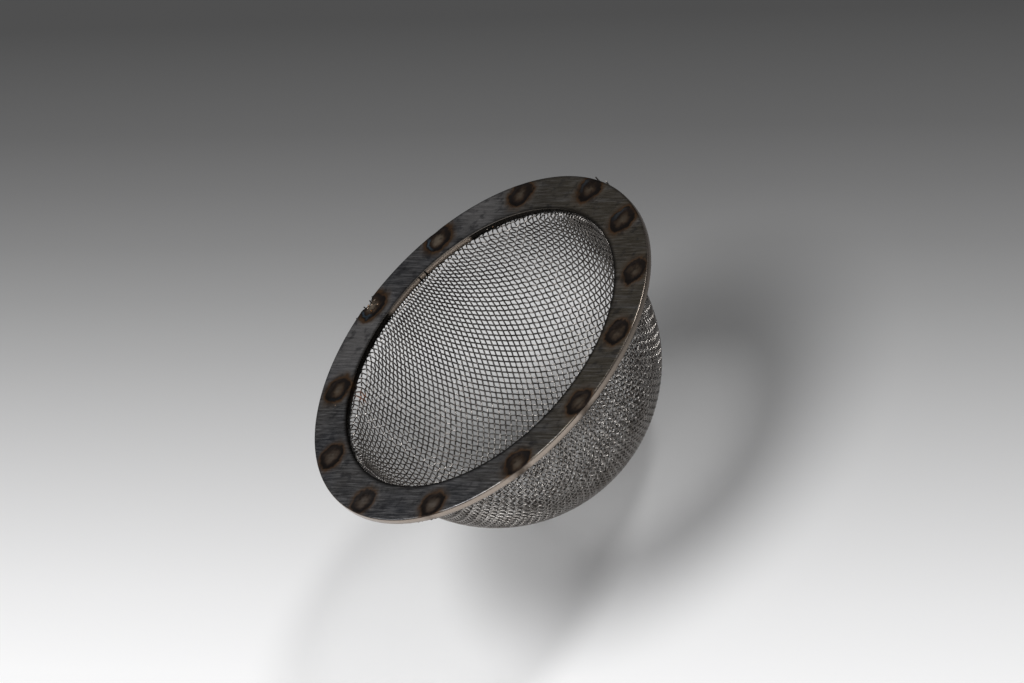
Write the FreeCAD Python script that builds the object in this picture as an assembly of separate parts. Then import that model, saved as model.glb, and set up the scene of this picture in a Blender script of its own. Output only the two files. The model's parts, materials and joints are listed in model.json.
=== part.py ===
import FreeCAD, Part
import math
import os

# Spark arrestor screen: a flat steel flange ring with a dome of woven wire cloth
# spot welded behind it. Gas goes in at the ring and out through the cloth.
# Millimetres. The origin is the centre of the flange's front face, +Z points
# out of the opening along the axis, and the dome hangs below the flange.

# Flange ring, stamped from sheet
flange_outer_r = 31.75
flange_width = 6.25
flange_bore_r = flange_outer_r - flange_width
flange_thick = 1.0
flange_edge_r = 0.2

# Wire cloth, thirty wires to the inch, opened a little by the pressing
wire_dia = 0.25
cloth_pitch = 0.87
cloth_thick = 2 * wire_dia
weave_turn = 49.4

# Dome pressed from the cloth, with a neck and a flat brim behind the flange. Its
# outside slips inside the line of the bore by dome_slip
dome_slip = 0.3
dome_outer_r = flange_bore_r - dome_slip
neck_bend_r = 0.6
neck_length = 2.6
bend_steps = 2
brim_inset = 0.35
brim_r = flange_outer_r - brim_inset

# The weave is drawn coarser than the real cloth, with the same share of wire to
# opening. At each crossing one wire stands proud outside and the other inside
coarse_ratio = 7
rib_pitch = coarse_ratio * cloth_pitch
rib_width = coarse_ratio * wire_dia
float_width = 0.6 * rib_width
float_length = 1.2 * rib_pitch
float_height = 0.25
float_root = 0.12

# How far up the dome, in degrees from its lowest point, the gaps and the arches reach
open_angle = 88.0
float_angle = 84.0

# Spot welds: angle in degrees of each electrode mark, and its place across the
# ring, from 0 at the bore to 1 at the rim. They were set by hand around the
# ring, so their spacing wanders
weld_spots = [
    (44, 0.66), (15, 0.72), (-9, 0.59), (-34, 0.62), (-57, 0.56), (-82, 0.72), (-107, 0.72),
    (-138, 0.66), (-169, 0.66), (162, 0.56), (134, 0.45), (103, 0.74), (75, 0.67),
]
weld_mark_r = 2.2
weld_mark_depth = 0.12
weld_mark_sides = 10
burnt_weld = weld_spots[11]
burn_r = 0.55

# Heights that follow from the sizes above
flange_back_z = -flange_thick
brim_back_z = flange_back_z - cloth_thick
dome_inner_r = dome_outer_r - cloth_thick
dome_centre_z = brim_back_z - neck_length
centre = FreeCAD.Vector(0, 0, dome_centre_z)
axis_up = FreeCAD.Vector(0, 0, 1)


def polygon_face(points):
    """A flat face inside a closed run of points."""
    return Part.Face(Part.makePolygon(points + [points[0]]))


def revolve(outline):
    """Turn a clockwise outline of (radius, height) points round the Z axis."""
    profile = polygon_face([FreeCAD.Vector(x, 0, z) for x, z in outline])
    return profile.revolve(FreeCAD.Vector(0, 0, 0), axis_up, 360)


def bend(centre_x, centre_z, radius, start_deg, end_deg):
    """Points of a small bend, in a few flat steps."""
    points = []
    for step in range(bend_steps + 1):
        turn = math.radians(start_deg + (end_deg - start_deg) * step / bend_steps)
        points.append((centre_x + radius * math.cos(turn), centre_z + radius * math.sin(turn)))
    return points


def round_point(degrees, radius, z):
    """A point on a circle about the axis."""
    turn = math.radians(degrees)
    return FreeCAD.Vector(radius * math.cos(turn), radius * math.sin(turn), z)


def pressed_disc(middle, radius, height):
    """A many-sided disc that stands up from its middle, or down if height is negative."""
    points = []
    for side in range(weld_mark_sides):
        points.append(middle + round_point(360 * side / weld_mark_sides, radius, 0))
    return polygon_face(points).extrude(axis_up * height)


def weld_marks(face_z, into):
    """The shallow round marks that the electrodes press into a face."""
    marks = []
    for degrees, across in weld_spots:
        radius = flange_bore_r + across * flange_width
        middle = round_point(degrees, radius, face_z + into * weld_mark_depth)
        marks.append(pressed_disc(middle, weld_mark_r, -2 * into * weld_mark_depth))
    return marks


def flange_ring():
    """Flat ring with a rolled front edge, weld marks and one weld burnt through."""
    outline = [(flange_bore_r, flange_back_z), (flange_bore_r, 0)]
    outline += bend(flange_outer_r - flange_edge_r, -flange_edge_r, flange_edge_r, 90, 0)
    outline += [(flange_outer_r, flange_back_z)]
    burn_top = round_point(burnt_weld[0], flange_outer_r, flange_thick)
    burn = pressed_disc(burn_top, burn_r, -3 * flange_thick)
    return revolve(outline).cut(weld_marks(0, -1) + [burn])


def cloth_rim():
    """Brim, bend and neck of the pressed cloth, down to the dome's widest place."""
    bend_x = dome_outer_r + neck_bend_r
    bend_z = brim_back_z - neck_bend_r
    outline = [(dome_inner_r, dome_centre_z)]
    outline += bend(bend_x, bend_z, neck_bend_r + cloth_thick, 180, 90)
    outline += [(brim_r, flange_back_z), (brim_r, brim_back_z)]
    outline += bend(bend_x, bend_z, neck_bend_r, 90, 180)
    outline += [(dome_outer_r, dome_centre_z)]
    return revolve(outline).cut(weld_marks(brim_back_z, 1))


def draped_net(step, count):
    """Directions of the crossings of a square cloth draped over a ball.

    Wires bend but don't stretch, so each mesh keeps four equal sides and only
    leans over. One mesh sits square on the pole. The two rows that start there
    run straight, and each next crossing is the mirror image of the one behind
    it, in the plane through the centre and the two beside it.
    """
    half = step / 2
    stride = 2 * math.asin(math.tan(half))
    quarter = {}
    for i in range(count):
        turn = (i + 0.5) * stride
        out = math.cos(half) * math.sin(turn)
        down = -math.cos(half) * math.cos(turn)
        quarter[i, 0] = FreeCAD.Vector(out, math.sin(half), down)
        quarter[0, i] = FreeCAD.Vector(math.sin(half), out, down)
    for i in range(1, count):
        for j in range(1, count):
            mirror = quarter[i, j - 1].cross(quarter[i - 1, j]).normalize()
            behind = quarter[i - 1, j - 1]
            quarter[i, j] = behind - mirror * (2 * behind.dot(mirror))
    turn = FreeCAD.Rotation(axis_up, weave_turn)
    net = {}
    for (i, j), place in quarter.items():
        for key_i, x in ((i, place.x), (-i - 1, -place.x)):
            for key_j, y in ((j, place.y), (-j - 1, -place.y)):
                net[key_i, key_j] = turn.multVec(FreeCAD.Vector(x, y, place.z))
    return net


def polar_angle(direction):
    """Degrees from the dome's lowest point."""
    return math.degrees(math.atan2(math.hypot(direction.x, direction.y), -direction.z))


def skin(directions, radius):
    """A flat piece of the wall's outer or inner skin."""
    return polygon_face([centre + direction * radius for direction in directions])


def edge_wall(start, end):
    """The flat wall between both skins, from one direction to another."""
    outer = [centre + start * dome_outer_r, centre + end * dome_outer_r]
    inner = [centre + end * dome_inner_r, centre + start * dome_inner_r]
    return polygon_face(outer + inner)


def closed_mesh(corners, middle):
    """Both skins of a mesh that has no gap, as a low pyramid."""
    faces = []
    for k in range(4):
        for radius in (dome_outer_r, dome_inner_r):
            faces.append(skin([corners[k - 1], corners[k], middle], radius))
    return faces


def open_mesh(corners, middle):
    """A frame of four ribs round a gap.

    The gap's corners lie on the lines from the middle to the mesh's corners, so
    each rib is flat.
    """
    open_share = 1 - rib_width / rib_pitch
    inset = [middle + (corner - middle) * open_share for corner in corners]
    faces = []
    for k in range(4):
        for radius in (dome_outer_r, dome_inner_r):
            faces.append(skin([corners[k - 1], corners[k], inset[k], inset[k - 1]], radius))
        faces.append(edge_wall(inset[k - 1], inset[k]))
    return faces


def net_wall(net, count):
    """The dome's wall, mesh by mesh, cut off level at its widest place.

    A mesh is open if its middle lies low enough, so the cut leaves some half open.
    """
    faces = []
    edge_uses = {}
    gaps = 0
    for i in range(-count, count - 1):
        for j in range(-count, count - 1):
            keys = [(i, j), (i + 1, j), (i + 1, j + 1), (i, j + 1)]
            corners = [net[key] for key in keys]
            angles = [polar_angle(corner) for corner in corners]
            if min(angles) > 90:
                continue
            middle = (corners[0] + corners[1] + corners[2] + corners[3]) * 0.25
            if polar_angle(middle) < open_angle:
                faces += open_mesh(corners, middle)
                gaps += 1
            else:
                faces += closed_mesh(corners, middle)
            for k in range(4):
                edge = tuple(sorted((keys[k - 1], keys[k])))
                edge_uses[edge] = edge_uses.get(edge, 0) + 1
    for (start, end), uses in edge_uses.items():
        if uses == 1:
            faces.append(edge_wall(net[start], net[end]))
    print("gaps", gaps)
    shell = Part.Shell(faces)
    shell.sewShape()
    block = 4 * dome_outer_r
    above = Part.makeBox(block, block, block, centre - FreeCAD.Vector(block / 2, block / 2, 0))
    return Part.Solid(shell).cut(above)


def wire_float(here, ahead, face_r, outward):
    """The stretch of a wire that arches over a crossing, as a low gable."""
    run = (ahead - here * ahead.dot(here)).normalize()
    side = here.cross(run)
    half = float_length / 2
    foot = -half * half / (2 * face_r) - outward * float_root
    gable = [(-half, foot), (0, outward * float_height), (half, foot)]
    start = centre + here * face_r - side * (float_width / 2)
    points = [start + run * along + here * height for along, height in gable]
    return polygon_face(points).extrude(side * float_width)


def wire_floats(net, count):
    """Plain weave: at each crossing one wire is outside and the other inside."""
    floats = []
    for i in range(-count + 1, count - 1):
        for j in range(-count + 1, count - 1):
            reach = [net[i - 1, j], net[i + 1, j], net[i, j - 1], net[i, j + 1]]
            if max(polar_angle(place) for place in reach) > float_angle:
                continue
            ahead = [net[i + 1, j], net[i, j + 1]]
            over = (i + j) % 2
            floats.append(wire_float(net[i, j], ahead[over], dome_outer_r, 1))
            floats.append(wire_float(net[i, j], ahead[1 - over], dome_inner_r, -1))
    print("floats", len(floats))
    return floats


def mesh_dome():
    """The pressed wire cloth: an open net with arched wires, its neck and brim."""
    step = rib_pitch / dome_outer_r
    count = int(math.pi / 2 / step) + 2
    net = draped_net(step, count)
    return net_wall(net, count).fuse([cloth_rim()] + wire_floats(net, count))


def save(shape, name):
    """Write one sub-part and print what it is."""
    print(name, "solids", len(shape.Solids), "valid", shape.isValid(), "volume", round(shape.Volume, 1))
    shape.exportStep("parts/" + name + ".step")


os.makedirs("parts", exist_ok=True)
save(flange_ring(), "flange_ring")
save(mesh_dome(), "mesh_dome")
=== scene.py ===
# %% [markdown]
# # A spark arrestor screen
# A small screen that keeps sparks in an engine's exhaust: a flat steel ring, and behind
# it a dome pressed from woven wire cloth, held to the ring by thirteen spot welds.
# The solid model gives every size and place, in metres, with its origin at the middle of
# the ring's opening and +Z pointing out of it. This script dresses that model.

# %% Load the frame
import json
import math

import bpy
import numpy as np
from mathutils import Matrix, Vector


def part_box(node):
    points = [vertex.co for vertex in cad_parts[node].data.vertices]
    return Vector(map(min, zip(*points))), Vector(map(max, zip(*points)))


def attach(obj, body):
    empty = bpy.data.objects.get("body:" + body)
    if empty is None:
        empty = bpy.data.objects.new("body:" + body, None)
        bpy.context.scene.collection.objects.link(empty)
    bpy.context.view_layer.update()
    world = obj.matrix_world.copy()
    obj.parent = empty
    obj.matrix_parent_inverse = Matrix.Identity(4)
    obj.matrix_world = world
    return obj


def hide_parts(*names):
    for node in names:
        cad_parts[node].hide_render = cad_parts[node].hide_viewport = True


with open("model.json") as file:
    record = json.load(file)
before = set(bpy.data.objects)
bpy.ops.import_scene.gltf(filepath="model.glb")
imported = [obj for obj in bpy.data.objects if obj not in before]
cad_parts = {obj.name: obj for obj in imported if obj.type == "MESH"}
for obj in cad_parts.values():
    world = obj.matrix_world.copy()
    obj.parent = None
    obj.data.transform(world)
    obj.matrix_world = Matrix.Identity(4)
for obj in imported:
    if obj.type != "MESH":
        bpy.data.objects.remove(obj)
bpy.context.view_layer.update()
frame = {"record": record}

mm = 0.001

# %% [markdown]
# ## Sizes
# Whatever the solid model already knows is read from it, so that the two can't drift
# apart: the ring's radii come from its mounts, its thickness and the cloth's outer edge
# from the boxes of its parts. Only the cloth's own sizes are typed here: thirty wires to
# the inch, a quarter of a millimetre thick, opened a little by the pressing.

# %% Sizes of the ring, the cloth and the welds
mounts = {mount["name"]: mount for mount in frame["record"]["mounts"]}
flange_bore_r = mounts["flue_opening"]["dims"]["r_mm"] * mm
flange_outer_r = mounts["flange_rim"]["dims"]["r_mm"] * mm
flange_back_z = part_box("flange_ring")[0][2]
brim_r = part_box("mesh_dome")[1][0]
wire_dia = 0.25 * mm
cloth_pitch = 0.87 * mm
weave_turn = math.radians(49.4)
dome_slip = 0.3 * mm
neck_length = 2.6 * mm
neck_bend_r = 0.6 * mm
flange_width = flange_outer_r - flange_bore_r
print("ring radii", flange_bore_r, flange_outer_r, "brim", round(brim_r, 5))

# Each weld: its angle in degrees, its place across the ring from 0 at the bore to 1 at
# the rim, how hard the electrode pressed, and how hot it ran
weld_spots = [
    (44, 0.66, 1.0, 1.05), (15, 0.72, 0.8, 1.1), (-9, 0.59, 0.8, 1.1), (-34, 0.62, 0.7, 1.0),
    (-57, 0.56, 0.8, 1.0), (-82, 0.72, 1.0, 1.0), (-107, 0.72, 1.0, 1.05),
    (-138, 0.66, 1.1, 1.0), (-169, 0.66, 0.8, 0.95), (162, 0.56, 0.8, 1.0),
    (134, 0.45, 1.1, 1.1), (103, 0.74, 1.3, 1.3), (75, 0.67, 1.2, 1.25),
]
burnt_weld = 11
weld_pad_r = 1.7 * mm

# %% [markdown]
# ## Helpers
# A few small functions that each piece needs. A piece starts from a primitive with nothing else
# selected, because an operator acts on everything that is selected. When it is finished it is tied
# to the body that carries it, and the solids that it stands for are hidden.

# %% Helpers for making pieces
def alone():
    """Leave edit mode and select nothing."""
    if bpy.context.object and bpy.context.object.mode != "OBJECT":
        bpy.ops.object.mode_set(mode="OBJECT")
    bpy.ops.object.select_all(action="DESELECT")


def named(name):
    """Name the object that was just made, and its mesh."""
    piece = bpy.context.object
    piece.name = name
    piece.data.name = name
    return piece


def dress(piece, material, slot, *nodes):
    """Give a piece its finish and its body, and hide the solids that it stands for."""
    piece.data.materials.clear()
    piece.data.materials.append(material)
    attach(piece, "root")
    if nodes:
        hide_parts(*nodes)
    print(piece.name, "triangles", sum(len(face.vertices) - 2 for face in piece.data.polygons))


def places_of(mesh):
    """The places of a mesh's vertices, one row each."""
    flat = np.empty(3 * len(mesh.vertices))
    mesh.vertices.foreach_get("co", flat)
    return flat.reshape(-1, 3)


def weld_places(points):
    """For each point its nearest weld: millimetres outward, millimetres round, and number."""
    offsets = []
    for degrees, across, *_ in weld_spots:
        turn = math.radians(degrees)
        out = np.array([math.cos(turn), math.sin(turn)])
        gap = points[:, :2] - out * (flange_bore_r + across * flange_width)
        offsets.append(np.stack([gap @ out, gap @ np.array([-out[1], out[0]])], 1) / mm)
    offsets = np.array(offsets)
    nearest = np.argmin(np.linalg.norm(offsets, axis=2), axis=0)
    return offsets[nearest, np.arange(len(points))], nearest


# The heat stays in the brim and hardly reaches the rim's wall, so places there count as
# further away: by so much for each millimetre below the brim, and by so many on the wall
neck_cooling = 1.5
rim_cooling = 1.3
rim_skin = 0.05 * mm


def mark_welds(piece, heat_share=1.0):
    """Keep for every vertex how far its nearest weld is, on which side, and how hot it ran."""
    points = places_of(piece.data)
    offset, nearest = weld_places(points)
    away = np.hypot(offset[:, 0], offset[:, 1])
    side = offset[:, 1] / np.maximum(away, 0.01)
    below = np.maximum(flange_back_z - 2 * wire_dia - points[:, 2], 0) / mm
    on_rim = np.hypot(points[:, 0], points[:, 1]) > flange_outer_r - rim_skin
    away = away + neck_cooling * below + rim_cooling * on_rim
    heat = heat_share * np.array([spot[3] for spot in weld_spots])[nearest]
    layer = piece.data.attributes.new("weld_place", "FLOAT_VECTOR", "POINT")
    layer.data.foreach_set("vector", np.column_stack([away, side, heat]).ravel())


# %% [markdown]
# ## The shape of the pressed cloth
# The cloth is a disc of plain weave that was pressed to a ball-shaped dome, with a short
# straight neck, a small bend and a flat brim. A surface that is round about an axis is
# told by its section alone: how far along the cloth we are gives a radius and a height.
# The next functions go from a place to that distance and back, for the cloth's middle.

# %% Section of the pressed cloth
cloth_mid_z = flange_back_z - wire_dia
ball_r = flange_bore_r - dome_slip - wire_dia
ball_z = flange_back_z - 2 * wire_dia - neck_length
bend_r = neck_bend_r + wire_dia
bend_z = cloth_mid_z - bend_r
bend_x = ball_r + bend_r
arc_equator = ball_r * math.pi / 2
arc_neck = arc_equator + bend_z - ball_z
arc_bend = arc_neck + bend_r * math.pi / 2


def cloth_arc(place):
    """How far along the cloth, from the dome's pole, a place lies."""
    x, y, z = np.moveaxis(np.asarray(place), -1, 0)
    r = np.hypot(x, y)
    on_ball = ball_r * np.arctan2(r, ball_z - z)
    on_neck = arc_equator + z - ball_z
    on_bend = arc_neck + bend_r * np.arctan2(z - bend_z, bend_x - r)
    on_brim = arc_bend + r - bend_x
    arc = np.where(z < ball_z, on_ball, on_neck)
    arc = np.where(z > bend_z, on_bend, arc)
    return np.where(r > bend_x, on_brim, arc)


def cloth_section(arc):
    """Radius and height of the cloth's middle at a distance along it, and their slopes."""
    turn = np.minimum(arc, arc_equator) / ball_r
    bent = np.clip((arc - arc_neck) / bend_r, 0, math.pi / 2)
    straight = np.clip(arc, arc_equator, arc_neck) - arc_equator
    r = ball_r * np.sin(turn) + bend_r * (1 - np.cos(bent)) + np.maximum(arc - arc_bend, 0)
    z = ball_z - ball_r * np.cos(turn) + straight + bend_r * np.sin(bent)
    slope_r = np.where(arc < arc_neck, np.cos(turn), np.sin(bent))
    slope_z = np.where(arc < arc_neck, np.sin(turn), np.cos(bent))
    return r, z, slope_r, slope_z


def on_cloth(place):
    """The nearest place on the cloth's middle, and the way out of the dome there."""
    around = np.arctan2(place[..., 1], place[..., 0])
    r, z, slope_r, slope_z = cloth_section(cloth_arc(place))
    middle = np.stack([r * np.cos(around), r * np.sin(around), z], -1)
    outward = np.stack([slope_z * np.cos(around), slope_z * np.sin(around), -slope_r], -1)
    return middle, outward


print("dome centre height", round(ball_z, 5), "cloth from pole to brim", round(arc_bend, 5))

# %% [markdown]
# ## How woven cloth drapes
# Wires bend but don't stretch. So when the press pushes the cloth into a ball, every mesh
# keeps four sides of the same length and only leans over, from a square to a diamond.
# That settles the whole net: it starts with one square on the pole, and each next
# crossing is the place on the cloth that lies one pitch from the two crossings beside it.
# Newton's method finds it in a few steps. One quarter is worked out and then mirrored.

# %% Draped net of wire crossings
newton_steps = 20
close_enough = 1e-9


def next_crossing(guess, beside, other):
    """The place on the cloth one pitch from its neighbours, or half a pitch off the axis."""
    arc = float(cloth_arc(guess))
    around = math.atan2(guess[1], guess[0])
    for _ in range(newton_steps):
        r, z, slope_r, slope_z = cloth_section(arc)
        out = np.array([math.cos(around), math.sin(around), 0])
        place = r * out + [0, 0, z]
        by_arc = slope_r * out + [0, 0, slope_z]
        by_turn = r * np.array([-out[1], out[0], 0])
        gap = place - beside
        errors = [gap @ gap - cloth_pitch ** 2]
        slopes = [[2 * gap @ by_arc, 2 * gap @ by_turn]]
        if other is None:
            errors.append((place[1] - cloth_pitch / 2) * cloth_pitch)
            slopes.append([by_arc[1] * cloth_pitch, by_turn[1] * cloth_pitch])
        else:
            gap = place - other
            errors.append(gap @ gap - cloth_pitch ** 2)
            slopes.append([2 * gap @ by_arc, 2 * gap @ by_turn])
        change = np.linalg.solve(slopes, errors)
        arc -= change[0]
        around -= change[1]
        if abs(change[0]) < close_enough:
            break
    return place


def draped_quarter(reach):
    """Crossings by row and column, in one quarter of the cloth, out past a radius."""
    half = cloth_pitch / 2
    net = {(0, 0): np.array([half, half, ball_z - math.sqrt(ball_r ** 2 - 2 * half ** 2)])}
    total = 0
    growing = True
    while growing:
        total += 1
        growing = False
        for i in range((total + 1) // 2, total + 1):
            j = total - i
            beside = net.get((i - 1, j))
            other = net.get((i, j - 1))
            if beside is None or (j and other is None) or math.hypot(*beside[:2]) > reach:
                continue
            if j:
                guess = beside + other - net[i - 1, j - 1]
            else:
                guess = beside + [cloth_pitch, 0, 0] if i == 1 else 2 * beside - net[i - 2, 0]
            net[i, j] = next_crossing(guess, beside, other)
            net[j, i] = net[i, j][[1, 0, 2]]
            growing = True
    return net


def whole_net(quarter):
    """All four quarters by mirror, turned to lie as the cloth was cut."""
    turn = np.array(Matrix.Rotation(weave_turn, 3, "Z"))
    net = {}
    for (i, j), place in quarter.items():
        for row, x in ((i, 1), (-i - 1, -1)):
            for column, y in ((j, 1), (-j - 1, -1)):
                net[row, column] = turn @ (place * [x, y, 1])
    return net


net = whole_net(draped_quarter(brim_r + cloth_pitch))
print("crossings", len(net))

# %% [markdown]
# ## Woven wires
# Plain weave: at each crossing one wire passes outside the other, and the next crossing is
# the other way round. A real wire arches over its neighbour and then runs down straight,
# so each side of a mesh gets three points: the top of the arch, its shoulder, and the
# shoulder of the next arch on the other face of the cloth. A curve with a round bevel
# turns such a line into wire, and one curve object holds many wires, which is far quicker
# than a separate object each. Curves are the right tool here, because modelling
# thousands of bends by hand from cylinders would never end.

# %% Paths of the wires
shoulder = 0.2
shoulder_rise = 0.85


def wire_path(crossings, sides, reach):
    """Points along one wire, from its crossings and which face it takes at each."""
    ends = np.array(crossings)
    side = np.array(sides)[:, None]
    run = ends[1:] - ends[:-1]
    steps = [(ends[:-1], side[:-1]), (ends[:-1] + shoulder * run, side[:-1] * shoulder_rise)]
    steps.append((ends[1:] - shoulder * run, side[1:] * shoulder_rise))
    middle, outward = on_cloth(np.stack([step[0] for step in steps], 1))
    rise = np.stack([step[1] for step in steps], 1) * wire_dia / 2
    path = (middle + outward * rise).reshape(-1, 3)
    radius = np.hypot(path[:, 0], path[:, 1])
    inside = np.flatnonzero(radius < reach)
    first, last = inside[0], inside[-1]
    kept = list(path[first:last + 1])
    if last + 1 < len(path):
        share = (reach - radius[last]) / (radius[last + 1] - radius[last])
        kept.append(path[last] + share * (path[last + 1] - path[last]))
    if first:
        share = (reach - radius[first]) / (radius[first - 1] - radius[first])
        kept.insert(0, path[first] + share * (path[first - 1] - path[first]))
    return kept


def wire_paths(across):
    """The wires that run one way: across is 0 for warp, 1 for weft."""
    paths = {}
    for number in sorted({key[1 - across] for key in net}):
        keys = sorted(key for key in net if key[1 - across] == number)
        crossings = [net[key] for key in keys]
        if min(math.hypot(*place[:2]) for place in crossings) > brim_r - wire_dia:
            continue
        sides = [1 if (sum(key) + across) % 2 else -1 for key in keys]
        paths[number] = wire_path(crossings, sides, brim_r)
    return paths


# %% Wires from the paths
def wire_piece(name, paths):
    """One mesh of round wires, each following a path."""
    curve = bpy.data.curves.new(name, "CURVE")
    curve.dimensions = "3D"
    curve.bevel_depth = wire_dia / 2
    curve.bevel_resolution = 1
    curve.use_fill_caps = True
    for path in paths:
        spline = curve.splines.new("POLY")
        spline.points.add(len(path) - 1)
        spline.points.foreach_set("co", np.column_stack([path, np.ones(len(path))]).ravel())
        spline.use_smooth = True
    piece = bpy.data.objects.new(name, curve)
    bpy.context.collection.objects.link(piece)
    alone()
    piece.select_set(True)
    bpy.context.view_layer.objects.active = piece
    bpy.ops.object.convert(target="MESH")
    bpy.ops.object.shade_smooth()
    return named(name)


wire_pieces = []
for across, way in enumerate(("warp", "weft")):
    paths = wire_paths(across)
    for half, belongs in (("left", lambda n: n < 0), ("right", lambda n: n >= 0)):
        chosen = [path for number, path in paths.items() if belongs(number)]
        wire_pieces.append(wire_piece(f"{way}_wires_{half}", chosen))
        print(wire_pieces[-1].name, "wires", len(chosen))

# %% [markdown]
# ## The stamped ring
# The ring was stamped from one-millimetre sheet. Like a potter we draw half of its
# section and take it round: a circle at the bore's back edge is extruded and scaled, row
# by row, up the bore, out across the face, over the rolled edge and back underneath. The
# rows on the face lie close together, because the welds are pressed into them next.

# %% Ring as stamped
ring_sides = 720
face_rows = 26
edge_roll = 0.2 * mm
bore_break = 0.03 * mm
bore_middle_z = -0.55 * mm
merge_gap = 0.001 * mm


def ring_outline():
    """Radius and height of each row, from the bore's back edge once round the section."""
    rows = [(flange_bore_r, flange_back_z + bore_break), (flange_bore_r, bore_middle_z)]
    rows.append((flange_bore_r, -bore_break))
    face_in = flange_bore_r + bore_break
    face_out = flange_outer_r - edge_roll
    for row in range(face_rows + 1):
        rows.append((face_in + (face_out - face_in) * row / face_rows, 0))
    for degrees in (60, 30, 0):
        turn = math.radians(degrees)
        rows.append((face_out + edge_roll * math.cos(turn), edge_roll * (math.sin(turn) - 1)))
    rows.append((flange_outer_r, flange_back_z / 2))
    rows.append((flange_outer_r, flange_back_z + bore_break))
    back_width = flange_width - 2 * bore_break
    for share in (1, 0.75, 0.5, 0.25, 0):
        rows.append((face_in + share * back_width, flange_back_z))
    return rows


def stamped_ring():
    """The ring before welding, row by row from one circle."""
    rows = ring_outline()
    alone()
    bpy.ops.mesh.primitive_circle_add(vertices=ring_sides, radius=rows[0][0], location=(0, 0, 0))
    ring = named("stamped_ring")
    bpy.ops.object.mode_set(mode="EDIT")
    bpy.ops.mesh.select_all(action="SELECT")
    bpy.ops.transform.translate(value=(0, 0, rows[0][1]))
    for (r, z), (next_r, next_z) in zip(rows, rows[1:]):
        bpy.ops.mesh.extrude_edges_move()
        bpy.ops.transform.resize(value=(next_r / r, next_r / r, 1))
        bpy.ops.transform.translate(value=(0, 0, next_z - z))
    bpy.ops.mesh.extrude_edges_move()
    bpy.ops.transform.resize(value=(rows[0][0] / next_r, rows[0][0] / next_r, 1))
    bpy.ops.transform.translate(value=(0, 0, rows[0][1] - next_z))
    bpy.ops.mesh.select_all(action="SELECT")
    bpy.ops.mesh.remove_doubles(threshold=merge_gap)
    bpy.ops.mesh.normals_make_consistent(inside=False)
    bpy.ops.object.mode_set(mode="OBJECT")
    bpy.ops.object.shade_smooth_by_angle(angle=math.radians(50))
    return ring


ring = stamped_ring()
print("ring vertices", len(ring.data.vertices), "box", [round(size, 5) for size in ring.dimensions])

# %% [markdown]
# ## Spot welds
# A spot welder squeezes ring and cloth between two copper electrodes and sends a current
# through. What stays is a shallow dish with a groove round a low middle, a lip where the
# hot steel gave way, and one side deeper where the electrode was tilted. Operators can't
# draw that profile, so it is a small formula of the distance from the weld, and each
# vertex of the face moves by it. The last weld on the list sat too near the rim and was
# blown out there, so the rim's vertices around it are pulled in, unevenly.

# %% Welds pressed into the ring
face_depth = 0.5 * mm
burn_half_mm = 1.3
burn_depth = 0.75 * mm
burn_reach = 1.6 * mm

# Parts of a weld's mark in millimetres: how deep or how high, and where round its middle
bowl_deep, middle_high = 0.05, 0.03
groove_deep, groove_r, groove_wide = 0.014, 1.6, 0.28
lip_high, lip_r, lip_wide = 0.008, 2.4, 0.2
tilt_slope = 0.012


def smooth_step(value, low, high):
    """0 below low, 1 above high, and an even curve between."""
    share = np.clip((value - low) / (high - low), 0, 1)
    return share * share * (3 - 2 * share)


def dish(offset, press):
    """How far a weld's mark rises at places given in millimetres from its middle."""
    away = np.hypot(offset[:, 0], offset[:, 1])
    wobble = 1 + 0.06 * np.sin(3 * np.arctan2(offset[:, 1], offset[:, 0]) + 9 * press)
    away = away * wobble
    bowl = -bowl_deep * (1 - smooth_step(away, 1.5, 2.3))
    middle = middle_high * (1 - smooth_step(away, 0.2, 1.5))
    groove = -groove_deep * np.exp(-((away - groove_r) / groove_wide) ** 2)
    lip = lip_high * np.exp(-((away - lip_r) / lip_wide) ** 2)
    tilt = -tilt_slope * offset[:, 1] * (1 - smooth_step(away, 1.4, 2.2))
    return (bowl + middle + groove + lip + tilt) * press * mm


def press_welds(ring):
    """Move the face's vertices into the welds' marks, and blow out the burnt rim."""
    points = places_of(ring.data)
    offset, nearest = weld_places(points)
    press = np.array([spot[2] for spot in weld_spots])[nearest]
    face = points[:, 2] > -face_depth
    points[face, 2] += dish(offset[face], press[face])
    round_mm = offset[:, 1] + 0.1
    near = (nearest == burnt_weld) & (np.abs(round_mm) < burn_half_mm)
    ragged = 1 + 0.35 * np.sin(9 * round_mm) + 0.2 * np.sin(23 * round_mm + 1)
    hollow = np.cos(round_mm / burn_half_mm * math.pi / 2) ** 2
    bite = np.where(near, hollow * ragged * burn_depth, 0)
    r = np.hypot(points[:, 0], points[:, 1])
    pull = bite * smooth_step(r, flange_outer_r - burn_reach, flange_outer_r)
    points[:, :2] *= (1 - pull / r)[:, None]
    ring.data.vertices.foreach_set("co", points.ravel())
    ring.data.update()


press_welds(ring)
mark_welds(ring)
print("welds pressed", len(weld_spots))

# %% [markdown]
# ## Loose wire ends
# Where the cloth was cut, two wire ends stand up past the ring's face, and at the weld
# that blew out a row of burnt stubs ends a little below it. Each is a short path from the
# brim, out behind the ring and up past its edge, made into wire like the cloth. The list
# gives its angle in degrees, how far above the face it ends, and its lean sideways.

# %% Wire ends that stand past the ring
loose_ends = [
    (15.2, 0.28, -0.15), (10.8, 0.06, -0.35), (98.8, -0.3, -0.05), (100.3, -0.15, 0.05),
    (101.9, -0.25, -0.15), (104.0, -0.1, 0.05), (105.7, -0.25, -0.1), (107.6, -0.15, 0.15),
]
end_root = 0.5 * mm
end_turn_z = -0.8 * mm
end_gaps = (0.02 * mm, 0.16 * mm, 0.18 * mm)


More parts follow.
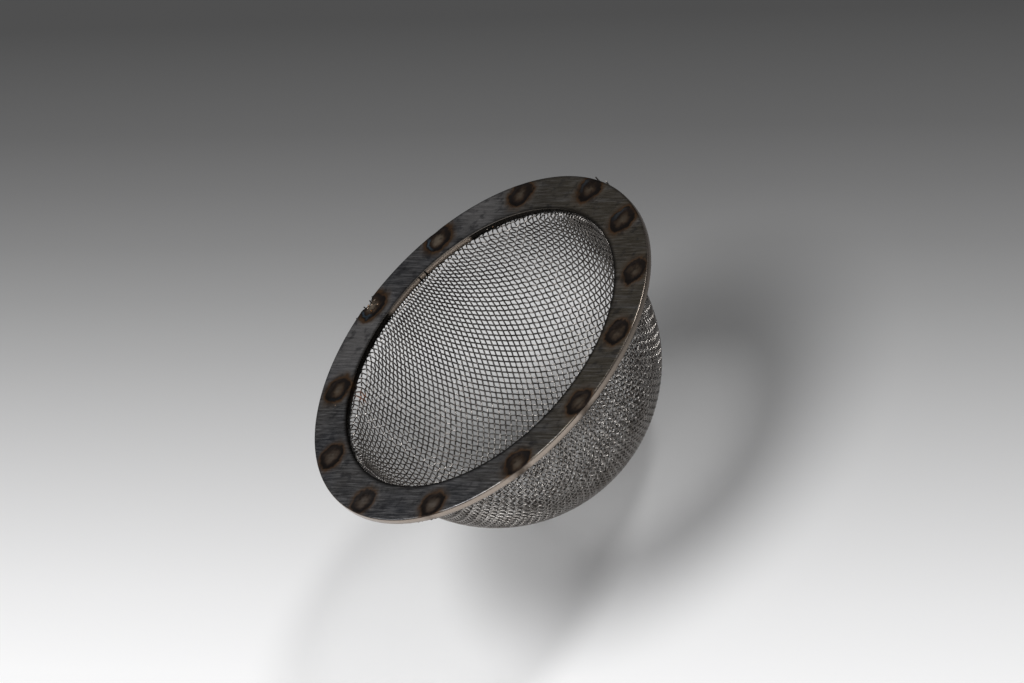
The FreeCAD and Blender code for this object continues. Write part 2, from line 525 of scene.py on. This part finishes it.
def loose_path(degrees, rise, lean):
    """From the brim out behind the ring, and up just outside its edge."""
    past_root, past_turn, past_tip = [flange_outer_r + gap for gap in end_gaps]
    rows = [(brim_r - end_root, cloth_mid_z, 0), (past_root, cloth_mid_z, 0)]
    rows += [(past_turn, end_turn_z, 0.3), (past_tip, rise * mm, 1)]
    path = []
    for r, z, share in rows:
        turn = math.radians(degrees) + share * lean * mm / r
        path.append((r * math.cos(turn), r * math.sin(turn), z))
    return path


wire_pieces.append(wire_piece("loose_wire_ends", [loose_path(*end) for end in loose_ends]))
print("loose ends", len(loose_ends))

# %% [markdown]
# ## Weld nuggets on the back
# The lower electrode melts the wires of the brim into a small dished disc. One disc is
# modelled from a cylinder, its lower face inset and pressed in, and then copied to each
# weld, a little turned and stretched, so that no two are alike.

# %% Nuggets behind the welds
nugget_thick = 0.3 * mm
nugget_insets = [(0.12, 0.03), (0.25, 0.01), (0.3, -0.06), (0.5, -0.02)]
nugget_middle_z = flange_back_z - 0.37 * mm
nugget_gap = 0.05 * mm


def nugget():
    """One disc with a dished lower face, standing at the origin."""
    alone()
    bpy.ops.mesh.primitive_cylinder_add(
        vertices=32, radius=weld_pad_r, depth=nugget_thick, location=(0, 0, 0))
    disc = named("nugget")
    bpy.ops.object.mode_set(mode="EDIT")
    bpy.ops.mesh.select_all(action="DESELECT")
    bpy.ops.object.mode_set(mode="OBJECT")
    for face in disc.data.polygons:
        face.select = face.normal.z < -0.5
    bpy.ops.object.mode_set(mode="EDIT")
    for inward, outward in nugget_insets:
        bpy.ops.mesh.inset(thickness=inward * mm, depth=outward * mm)
    bpy.ops.object.mode_set(mode="OBJECT")
    return disc


def nuggets():
    """A nugget at each weld, kept inside the brim's edge, as one piece."""
    first = nugget()
    discs = [first]
    for _ in weld_spots[1:]:
        disc = first.copy()
        disc.data = first.data.copy()
        bpy.context.collection.objects.link(disc)
        discs.append(disc)
    for number, (disc, spot) in enumerate(zip(discs, weld_spots)):
        turn = math.radians(spot[0])
        r = min(flange_bore_r + spot[1] * flange_width, brim_r - weld_pad_r - nugget_gap)
        place = Matrix.Translation((r * math.cos(turn), r * math.sin(turn), nugget_middle_z))
        stretch = Matrix.Diagonal((0.9 + 0.03 * (number % 4), 0.92 + 0.04 * (number % 3), 1, 1))
        disc.data.transform(place @ Matrix.Rotation(turn, 4, "Z") @ stretch)
    alone()
    for disc in discs:
        disc.select_set(True)
    bpy.context.view_layer.objects.active = first
    bpy.ops.object.join()
    bpy.ops.object.shade_smooth_by_angle(angle=math.radians(40))
    return named("weld_nuggets")


wire_heat = 0.65
wire_pieces.append(nuggets())
for piece in wire_pieces:
    mark_welds(piece, wire_heat)
print("nuggets", len(weld_spots))

# %% [markdown]
# ## Spatter
# The blown out weld threw small beads of steel on the face, and three more stuck to the
# wall of the bore. One more lies by itself. A bead is a small ball, pressed flat where it
# hit. The list gives its angle, its distance from the axis, its height and its radius.

# %% Beads of spatter
beads = [
    (101.8, 29.2, -0.03, 0.13), (104.4, 29.6, -0.04, 0.15), (102.6, 30.4, -0.05, 0.17),
    (104.0, 30.8, -0.06, 0.16), (101.0, 30.6, -0.04, 0.12), (103.2, 31.1, -0.08, 0.20),
    (64.8, 25.46, -0.55, 0.12), (57.0, 25.46, -0.50, 0.10), (54.6, 25.46, -0.52, 0.12),
    (140.5, 28.0, 0.00, 0.10),
]
bead_squash = (1.15, 0.9, 0.6)


def spatter():
    """All beads as one piece, each a ball added in edit mode and pressed flat."""
    alone()
    for degrees, r, z, size in beads:
        turn = math.radians(degrees)
        place = Vector((r * math.cos(turn), r * math.sin(turn), z)) * mm
        start = (0, 0, 0) if bpy.context.mode == "OBJECT" else place
        bpy.ops.mesh.primitive_ico_sphere_add(subdivisions=3, radius=size * mm, location=start)
        if bpy.context.mode == "OBJECT":
            named("weld_spatter")
            bpy.ops.object.mode_set(mode="EDIT")
            bpy.ops.transform.translate(value=place)
        bpy.ops.transform.resize(value=bead_squash, center_override=place)
    bpy.ops.object.mode_set(mode="OBJECT")
    bpy.ops.object.shade_smooth()
    return bpy.context.object


bead_piece = spatter()
mark_welds(bead_piece)
print("beads", len(beads))

# %% [markdown]
# ## Finishes
# Heat leaves the same colours wherever it reaches, on the ring and on the wires, so the
# tint is one node group that both materials use. It reads the distance from the nearest
# weld, which every vertex carries, and runs through the colours that a weld leaves: brown
# where the electrode pressed, a black edge, and rust brown fading out around it. Noise
# chars some patches. The hottest welds have a paler middle, and a sliver of blue on the
# side where the tilted electrode dug in. The group only mixes colours: the shader itself
# stays in each material.

# %% Node helpers
def add_node(tree, kind, **values):
    """A node with its properties and plain input values set."""
    node = tree.nodes.new(kind)
    for name, value in values.items():
        if name in node.inputs:
            node.inputs[name].default_value = value
        else:
            setattr(node, name, value)
    return node


def maths(tree, operation, first, second=0.5, clamp=False):
    """A Math node fed by sockets or numbers."""
    node = add_node(tree, "ShaderNodeMath", operation=operation, use_clamp=clamp)
    for socket, value in zip(node.inputs, (first, second)):
        if isinstance(value, bpy.types.NodeSocket):
            tree.links.new(value, socket)
        else:
            socket.default_value = value
    return node.outputs[0]


def times(tree, first, second):
    """Two values multiplied, such as a mask and a share."""
    return maths(tree, "MULTIPLY", first, second)


def blend(tree, mask, first, second):
    """The first colour where a mask is 0 and the second where it is 1, plain or from sockets."""
    node = add_node(tree, "ShaderNodeMix", data_type="RGBA")
    tree.links.new(mask, node.inputs[0])
    for socket, value in zip((node.inputs[6], node.inputs[7]), (first, second)):
        if isinstance(value, bpy.types.NodeSocket):
            tree.links.new(value, socket)
        else:
            socket.default_value = (*value, 1)
    return node.outputs[2]


def noise(tree, place, scale, detail=3.0, roughness=0.5):
    """Noise read at a place."""
    node = add_node(tree, "ShaderNodeTexNoise", Scale=scale, Detail=detail, Roughness=roughness)
    tree.links.new(place, node.inputs["Vector"])
    return node.outputs["Fac"]


def between(tree, value, low, high):
    """0 where a value is below low, 1 above high, smooth between."""
    node = add_node(tree, "ShaderNodeMapRange", interpolation_type="SMOOTHSTEP")
    node.inputs["From Min"].default_value = low
    node.inputs["From Max"].default_value = high
    tree.links.new(value, node.inputs["Value"])
    return node.outputs["Result"]


def object_place(tree):
    """Object coordinates in metres."""
    return add_node(tree, "ShaderNodeTexCoord").outputs["Object"]


def split_place(tree):
    """Object coordinates as three values."""
    split = add_node(tree, "ShaderNodeSeparateXYZ")
    tree.links.new(object_place(tree), split.inputs[0])
    return split.outputs


def flat_distance(tree, x, y, east, north):
    """How far a place is, seen from above, from another."""
    x = maths(tree, "SUBTRACT", x, east)
    y = maths(tree, "SUBTRACT", y, north)
    return maths(tree, "SQRT", maths(tree, "ADD", times(tree, x, x), times(tree, y, y)))


def distance_along(tree, x, y, way):
    """How far a place lies along a level direction."""
    return maths(tree, "ADD", times(tree, x, way[0]), times(tree, y, way[1]))


def colour_ramp(tree, value, stops):
    """A Color Ramp with its stops set: place, colour and alpha."""
    ramp = add_node(tree, "ShaderNodeValToRGB")
    elements = ramp.color_ramp.elements
    while len(elements) < len(stops):
        elements.new(0.5)
    for element, (place, colour, alpha) in zip(elements, stops):
        element.position = place
        element.color = (*colour, alpha)
    tree.links.new(value, ramp.inputs[0])
    return ramp.outputs


def plain_material(name):
    """A new material: its tree and its Principled shader."""
    material = bpy.data.materials.new(name)
    material.use_nodes = True
    shader = material.node_tree.nodes["Principled BSDF"]
    return material, material.node_tree, shader


# %% Heat tint round the welds
tint_stops = [
    (0.00, (0.072, 0.056, 0.042), 0.85),
    (0.12, (0.056, 0.041, 0.029), 0.90),
    (0.24, (0.032, 0.021, 0.014), 0.95),
    (0.34, (0.012, 0.009, 0.008), 1.00),
    (0.46, (0.009, 0.007, 0.006), 1.00),
    (0.52, (0.056, 0.031, 0.016), 0.95),
    (0.60, (0.043, 0.028, 0.018), 0.75),
    (0.82, (0.05, 0.036, 0.026), 0.0),
]
tint_reach_mm = 4.6
tint_wander_mm = 2.4
tint_grain = 520
blued_steel = (0.040, 0.054, 0.068)
cleared_steel = (0.125, 0.102, 0.078)
charred_steel = (0.014, 0.010, 0.008)


def heat_tint_group():
    """Node group: weld distance, side and heat in, tinted colour and burnt share out."""
    group = bpy.data.node_groups.new("heat_tint", "ShaderNodeTree")
    sockets = [("Base", "INPUT", "Color"), ("Place", "INPUT", "Vector"), ("Grain", "INPUT", "Float"),
               ("Colour", "OUTPUT", "Color"), ("Burnt", "OUTPUT", "Float")]
    for name, way, kind in sockets:
        group.interface.new_socket(name, in_out=way, socket_type="NodeSocket" + kind)
    start = add_node(group, "NodeGroupInput")
    grain = start.outputs["Grain"]
    split = add_node(group, "ShaderNodeSeparateXYZ")
    group.links.new(start.outputs["Place"], split.inputs[0])
    away, side, heat = split.outputs
    wander = times(group, maths(group, "SUBTRACT", grain, 0.5), tint_wander_mm)
    far = maths(group, "ADD", away, wander)
    reach = maths(group, "DIVIDE", far, tint_reach_mm)
    reach = maths(group, "DIVIDE", reach, maths(group, "POWER", heat, 0.3))
    colour, alpha = colour_ramp(group, reach, tint_stops)
    share = maths(group, "MULTIPLY", alpha, heat, clamp=True)
    tinted = blend(group, share, start.outputs["Base"], colour)
    cleared = times(group, between(group, heat, 1.1, 1.3), between(group, far, 1.3, 0.2))
    tinted = blend(group, cleared, tinted, cleared_steel)
    charred = times(group, between(group, grain, 0.52, 0.6), share)
    tinted = blend(group, times(group, charred, 0.6), tinted, charred_steel)
    sliver = times(group, between(group, far, 1.5, 1.8), between(group, far, 2.3, 2.0))
    sliver = times(group, sliver, between(group, side, 0.6, 0.95))
    blued = times(group, sliver, between(group, heat, 1.02, 1.28))
    tinted = blend(group, blued, tinted, blued_steel)
    finish = add_node(group, "NodeGroupOutput")
    group.links.new(tinted, finish.inputs["Colour"])
    group.links.new(share, finish.inputs["Burnt"])
    return group


heat_tint = heat_tint_group()


def tinted_colour(tree, base):
    """Place the heat tint in a material. Gives its colour and its burnt share."""
    place = add_node(tree, "ShaderNodeAttribute", attribute_name="weld_place")
    grain = noise(tree, object_place(tree), tint_grain, 4.0, 0.62)
    group = add_node(tree, "ShaderNodeGroup", node_tree=heat_tint)
    tree.links.new(base, group.inputs["Base"])
    tree.links.new(place.outputs["Vector"], group.inputs["Place"])
    tree.links.new(grain, group.inputs["Grain"])
    return group.outputs["Colour"], group.outputs["Burnt"]


print("heat tint stops", len(tint_stops))

# %% [markdown]
# ## Rolled steel of the ring
# Cold rolled sheet is dark, a little oily, and scored all one way by the mill's rolls.
# Noise that is stretched along the rolling direction makes those fine lines, and drives
# the colour, the roughness and a very low bump together, as one cause does in reality.
# Large soft noise lays the uneven oil film over it, bluish in places. One side of the ring is
# painted darker and browner, a painted shade, and two patches of the face are painted paler, a
# painted sheen. The face next to the bore and the bore's wall are painted dark as painted shade,
# apart from one stretch of the wall painted pale as a painted reflection, which shows two cracks.

# %% Where the ring's finish changes
# Painted reflection on the bore's wall, between these two turns
reflection_from, reflection_to = math.radians(64), math.radians(103)
crack_turns = (math.radians(84.2), math.radians(87.0))
# Painted shade: one side of the ring is painted darker and browner along this way
shaded_side_way = (0.86, -0.51)

# Where the face is painted paler as a painted sheen: place on the ring, and how far the patch
# reaches
sheen_places = [(-12 * mm, 26 * mm, 12 * mm), (15.4 * mm, 24.8 * mm, 6.5 * mm)]


def painted_wall_reflection(tree, r, turn):
    """The stretch of the bore's wall painted pale as a painted reflection, but for its cracks."""
    starts = between(tree, turn, reflection_from - 0.01, reflection_from + 0.02)
    ends = between(tree, turn, reflection_to + 0.02, reflection_to - 0.03)
    on_wall = between(tree, r, flange_bore_r + 0.03 * mm, flange_bore_r + 0.01 * mm)
    wall_reflection = times(tree, times(tree, starts, ends), on_wall)
    for crack in crack_turns:
        gap = maths(tree, "ABSOLUTE", maths(tree, "SUBTRACT", turn, crack))
        wall_reflection = times(tree, wall_reflection, between(tree, gap, 0.003, 0.009))
    return wall_reflection


def ring_masks(tree):
    """Masks of the painted shade by the bore, the painted reflection on the rim's edge and on the
    bore's wall, the painted shade on one side, and the painted sheen patches.
    """
    x, y, _ = split_place(tree)
    r = flat_distance(tree, x, y, 0.0, 0.0)
    # Painted shade: the face next to the bore and the bore's wall are painted dark
    bore_shade = between(tree, r, flange_bore_r + 0.8 * mm, flange_bore_r + 0.04 * mm)
    # Painted reflection: the rim's edge is painted pale all round
    cut = between(tree, r, flange_outer_r - 0.14 * mm, flange_outer_r - 0.03 * mm)
    # Painted reflection on a stretch of the bore's wall
    wall_reflection = painted_wall_reflection(tree, r, maths(tree, "ARCTAN2", y, x))
    # Painted shade on one side of the ring, darker and browner
    brown = between(tree, distance_along(tree, x, y, shaded_side_way), -6 * mm, 20 * mm)
    # Painted sheen: patches of the face painted paler
    sheen_mask = 0.0
    for east, north, reach in sheen_places:
        patch = between(tree, flat_distance(tree, x, y, east, north), reach, reach / 6)
        sheen_mask = maths(tree, "MAXIMUM", patch, sheen_mask)
    return bore_shade, cut, wall_reflection, brown, sheen_mask


print("worn patches", len(sheen_places), "cracks", len(crack_turns))

# %% Rolled steel material
rolled_way = math.radians(118)
grain_stretch = 13
mill_scale = 3200
blue_film, grey_film = (0.072, 0.075, 0.084), (0.108, 0.103, 0.098)
# Painted shade: the dark brown of the ring's shaded side
shaded_side_brown = (0.112, 0.096, 0.072)
fine_line, broad_line = (0.27, 0.265, 0.265), (0.24, 0.24, 0.25)
# Painted sheen: the paler colour of the sheen patches
painted_sheen = (0.30, 0.29, 0.285)
oil_spot = (0.030, 0.030, 0.034)
# Painted shade: the dark colour at the bore
bore_painted_shade = (0.014, 0.012, 0.010)
# Painted reflection: the pale colour of the rim's edge
rim_painted_reflection = (0.36, 0.305, 0.26)
# Painted reflection: the pale beige on the bore's wall
wall_reflection_beige = (0.42, 0.35, 0.29)


def sheet_colour(tree, lines, broad):
    """The sheet's colour before the heat, with its painted shade, sheen and reflections, and the
    mask of the bore wall's painted reflection.
    """
    bore_shade, cut, wall_reflection, brown, sheen_mask = ring_masks(tree)
    film = noise(tree, object_place(tree), 90, 3.0, 0.55)
    blotch = noise(tree, object_place(tree), 520, 4.0, 0.6)
    steel = blend(tree, between(tree, film, 0.3, 0.7), blue_film, grey_film)
    # Painted shade: one side of the ring painted darker and browner
    steel = blend(tree, brown, steel, shaded_side_brown)
    clean = maths(tree, "SUBTRACT", 1.0, times(tree, brown, 0.6))
    steel = blend(tree, times(tree, between(tree, lines, 0.4, 0.8), clean), steel, fine_line)
    steel = blend(tree, times(tree, between(tree, broad, 0.45, 0.75), 0.35), steel, broad_line)
    # Painted sheen on two patches of the face
    steel = blend(tree, times(tree, sheen_mask, 0.75), steel, painted_sheen)
    steel = blend(tree, times(tree, between(tree, blotch, 0.52, 0.68), 0.6), steel, oil_spot)
    # Painted shade next to the bore
    steel = blend(tree, times(tree, bore_shade, 0.97), steel, bore_painted_shade)
    # Painted reflection: the rim's edge painted pale
    return blend(tree, cut, steel, rim_painted_reflection), wall_reflection


def rolled_steel():
    """Dark cold rolled sheet with mill lines, oil film, heat tint, and painted shade, sheen and
    reflections.
    """
    material, tree, shader = plain_material("rolled_steel")
    mapping = add_node(tree, "ShaderNodeMapping", vector_type="TEXTURE",
                       Rotation=(0, 0, rolled_way), Scale=(grain_stretch, 1, 1))
    tree.links.new(object_place(tree), mapping.inputs["Vector"])
    lines = noise(tree, mapping.outputs["Vector"], mill_scale, 4.0, 0.65)
    broad = noise(tree, mapping.outputs["Vector"], 900, 2.0, 0.5)
    steel, wall_reflection = sheet_colour(tree, lines, broad)
    colour, burnt = tinted_colour(tree, steel)
    # Painted reflection on the bore's wall, laid over the heat tint
    colour = blend(tree, wall_reflection, colour, wall_reflection_beige)
    tree.links.new(colour, shader.inputs["Base Color"])
    shader.inputs["Metallic"].default_value = 1.0
    rough = maths(tree, "ADD", times(tree, lines, 0.2), 0.18)
    rough = maths(tree, "ADD", rough, times(tree, burnt, 0.16))
    tree.links.new(rough, shader.inputs["Roughness"])
    pits = noise(tree, object_place(tree), 2600, 3.0, 0.7)
    height = maths(tree, "ADD", lines, times(tree, times(tree, pits, burnt), 2.0))
    bump = add_node(tree, "ShaderNodeBump", Strength=0.35, Distance=0.02 * mm)
    tree.links.new(height, bump.inputs["Height"])
    tree.links.new(bump.outputs[0], shader.inputs["Normal"])
    return material


sheet_finish = rolled_steel()
dress(ring, sheet_finish, "flange_steel", "flange_ring")

# %% [markdown]
# ## Drawn wire
# Drawn wire is smoother and paler than the sheet. Where two wires rub they are bright, and
# between them dirt stays, so its grey varies from wire to wire and along each. A few
# wires beside one weld carry a copper coloured film.

# %% Drawn wire material
clean_wire, grimy_wire = (0.37, 0.352, 0.335), (0.21, 0.192, 0.176)
dirt_speck = (0.10, 0.08, 0.066)
copper_film = (0.44, 0.19, 0.10)
copper_place = (-17.9 * mm, 17.4 * mm, -2.2 * mm)
copper_reach = 1.5 * mm


def copper_mask(tree):
    """1 at the wires with the copper coloured film, 0 further off."""
    gap = add_node(tree, "ShaderNodeVectorMath", operation="DISTANCE")
    tree.links.new(object_place(tree), gap.inputs[0])
    gap.inputs[1].default_value = copper_place
    return between(tree, gap.outputs["Value"], copper_reach, copper_reach / 3)


def drawn_wire():
    """Dull drawn steel wire with a little grime and the heat tint near the welds."""
    material, tree, shader = plain_material("drawn_wire")
    grime = noise(tree, object_place(tree), 260, 3.0, 0.6)
    specks = noise(tree, object_place(tree), 2400, 2.0, 0.5)
    wire = blend(tree, between(tree, grime, 0.35, 0.7), clean_wire, grimy_wire)
    wire = blend(tree, times(tree, between(tree, specks, 0.55, 0.75), 0.5), wire, dirt_speck)
    wire = blend(tree, times(tree, copper_mask(tree), 0.75), wire, copper_film)
    colour = tinted_colour(tree, wire)[0]
    tree.links.new(colour, shader.inputs["Base Color"])
    shader.inputs["Metallic"].default_value = 1.0
    rough = maths(tree, "ADD", times(tree, specks, 0.16), 0.12)
    tree.links.new(rough, shader.inputs["Roughness"])
    return material


wire_finish = drawn_wire()
for piece in wire_pieces:
    dress(piece, wire_finish, "screen_wire", "mesh_dome")

# %% [markdown]
# ## Spatter beads
# A bead cools in the air and keeps a smooth skin, some still bright and some burnt brown.

# %% Spatter material
rusty_bead, bright_bead = (0.16, 0.075, 0.03), (0.42, 0.37, 0.31)


def bead_steel():
    """Bright to rusty brown small beads."""
    material, tree, shader = plain_material("bead_steel")
    patches = noise(tree, object_place(tree), 900, 2.0, 0.5)
    colour = blend(tree, between(tree, patches, 0.4, 0.6), rusty_bead, bright_bead)
    tree.links.new(colour, shader.inputs["Base Color"])
    shader.inputs["Metallic"].default_value = 1.0
    rough = maths(tree, "ADD", times(tree, patches, 0.3), 0.15)
    tree.links.new(rough, shader.inputs["Roughness"])
    return material


dress(bead_piece, bead_steel(), "flange_steel", "flange_ring")

# %% [markdown]
# ## Floor
# A pale sweep, as in a photographer's small studio: white near the camera and painted greyer further
# off, a painted falloff of light. The grey follows the floor's own coordinates, so it stays where it
# is when the camera moves. A soft pale pool of painted light lies behind the screen, where its
# openings look through to the floor, and it is painted darker toward the dome's foot as painted
# shade. Both run along one level direction and give, for each distance along it in metres, how grey
# the floor is there.

# %% Floor material and plane
floor_z = ball_z - ball_r - wire_dia
floor_size = 6
sweep_way = (0.886, 0.463)
sweep_low, sweep_high = -0.15, 0.15
# Painted shade: the floor's grey darkens along the sweep, standing in for light falling off
painted_falloff_stops = [(-0.042, 1.0), (-0.0264, 0.87), (-0.0116, 0.716), (0.0031, 0.565), (0.0178, 0.418),
               (0.0289, 0.319), (0.0399, 0.238), (0.0510, 0.178), (0.0620, 0.13), (0.0841, 0.076)]
# Painted light: a pale pool behind the screen, painted darker toward the dome's foot as painted
# shade
painted_pool_place = (0.0, 43.8 * mm)
painted_pool_r = 25.5 * mm
painted_pool_edge = 6 * mm
painted_pool_stops = [(0.0, 0.27), (0.005, 0.30), (0.011, 0.44), (0.019, 0.66), (0.030, 0.66), (0.042, 0.42)]


def greys_along(tree, along, stops):
    """A run of greys along the floor."""
    span = sweep_high - sweep_low
    share = maths(tree, "DIVIDE", maths(tree, "SUBTRACT", along, sweep_low), span)
    greys = [((place - sweep_low) / span, (grey, grey, grey), 1) for place, grey in stops]
    return colour_ramp(tree, share, greys)["Color"]


def floor_painted_light():
    """Dull paper painted from white to dark as a painted falloff of light, with the painted pool of
    light.
    """
    material, tree, shader = plain_material("floor_painted_light")
    x, y, _ = split_place(tree)
    along = distance_along(tree, x, y, sweep_way)
    away = flat_distance(tree, x, y, *painted_pool_place)
    # Painted light: the pale pool behind the screen, with painted shade toward the dome's foot
    pool = between(tree, away, painted_pool_r + painted_pool_edge, painted_pool_r)
    # Painted shade: the sweep's darkening further off
    sweep = greys_along(tree, along, painted_falloff_stops)
    colour = blend(tree, pool, sweep, greys_along(tree, along, painted_pool_stops))
    tree.links.new(colour, shader.inputs["Base Color"])
    shader.inputs["Roughness"].default_value = 0.9
    shader.inputs["Specular IOR Level"].default_value = 0.1
    return material


def sweep_floor():
    """A wide level floor just below the dome."""
    alone()
    bpy.ops.mesh.primitive_plane_add(size=floor_size, location=(0, 0, 0))
    floor = named("floor")
    bpy.ops.object.mode_set(mode="EDIT")
    bpy.ops.transform.translate(value=(0, 0, floor_z))
    bpy.ops.object.mode_set(mode="OBJECT")
    floor.data.materials.append(floor_painted_light())


sweep_floor()
print("floor height", round(floor_z, 5))

# %% [markdown]
# ## Light
# One soft lamp high over the screen lights the floor and lays the shadow. A smaller one at
# the side gives the glints on the wires low in the dome. A weak one on the camera's side
# and a dim world fill the rest, so the steel mirrors mostly dark surroundings and the
# pale floor. Their strengths add up so that a colour renders about as it is written.

# %% Lamps and world
lowest_slope = 0.3
dim_studio = (0.09, 0.09, 0.095, 1)


def soft_lamp(name, direction, distance, size, strength):
    """A round lamp that looks at the origin. Strength is its share of a level lighting."""
    data = bpy.data.lights.new(name, "AREA")
    data.shape = "DISK"
    data.size = size
    direction = Vector(direction).normalized()
    data.energy = strength * math.pi ** 2 * distance ** 2 / max(direction.z, lowest_slope)
    lamp = bpy.data.objects.new(name, data)
    lamp.location = direction * distance
    lamp.rotation_euler = direction.to_track_quat("Z", "Y").to_euler()
    bpy.context.collection.objects.link(lamp)
    print(name, "power", round(data.energy, 2))


soft_lamp("key_lamp", (-0.26, 0.34, 1.0), 1.8, 1.35, 0.76)
soft_lamp("fill_lamp", (-0.6, -0.8, 0.6), 1.2, 0.8, 0.04)
soft_lamp("side_lamp", (0.74, -0.04, 0.66), 1.2, 0.26, 0.17)
world = bpy.data.worlds.new("studio")
world.use_nodes = True
world.node_tree.nodes["Background"].inputs["Color"].default_value = dim_studio
bpy.context.scene.world = world
bpy.context.scene.view_settings.view_transform = "Standard"

# %% [markdown]
# ## Camera
# A long lens from about thirty four degrees above the ring, turned on its own axis so
# that the dome points to the lower right. Its three axes come from measuring the ring's
# ellipse in the photograph, and its distance from how much the far side shrinks.

# %% Camera
view_way = Vector((0, 0.831, -0.556)).normalized()
image_up = Vector((0.7285, 0.381, 0.569))
image_up = (image_up - view_way * image_up.dot(view_way)).normalized()
image_right = view_way.cross(image_up)
looks_at = Vector((3.95, -1.69, -2.52)) * mm
camera_distance = 1.905
camera_data = bpy.data.cameras.new("camera")
camera_data.lens = 442.3
camera_data.sensor_width = 36
camera_data.clip_start = 0.01
camera = bpy.data.objects.new("camera", camera_data)
axes = Matrix((image_right, image_up, -view_way)).transposed().to_4x4()
camera.matrix_world = Matrix.Translation(looks_at - view_way * camera_distance) @ axes
bpy.context.collection.objects.link(camera)
bpy.context.scene.camera = camera
print("camera at", [round(value, 4) for value in camera.location])
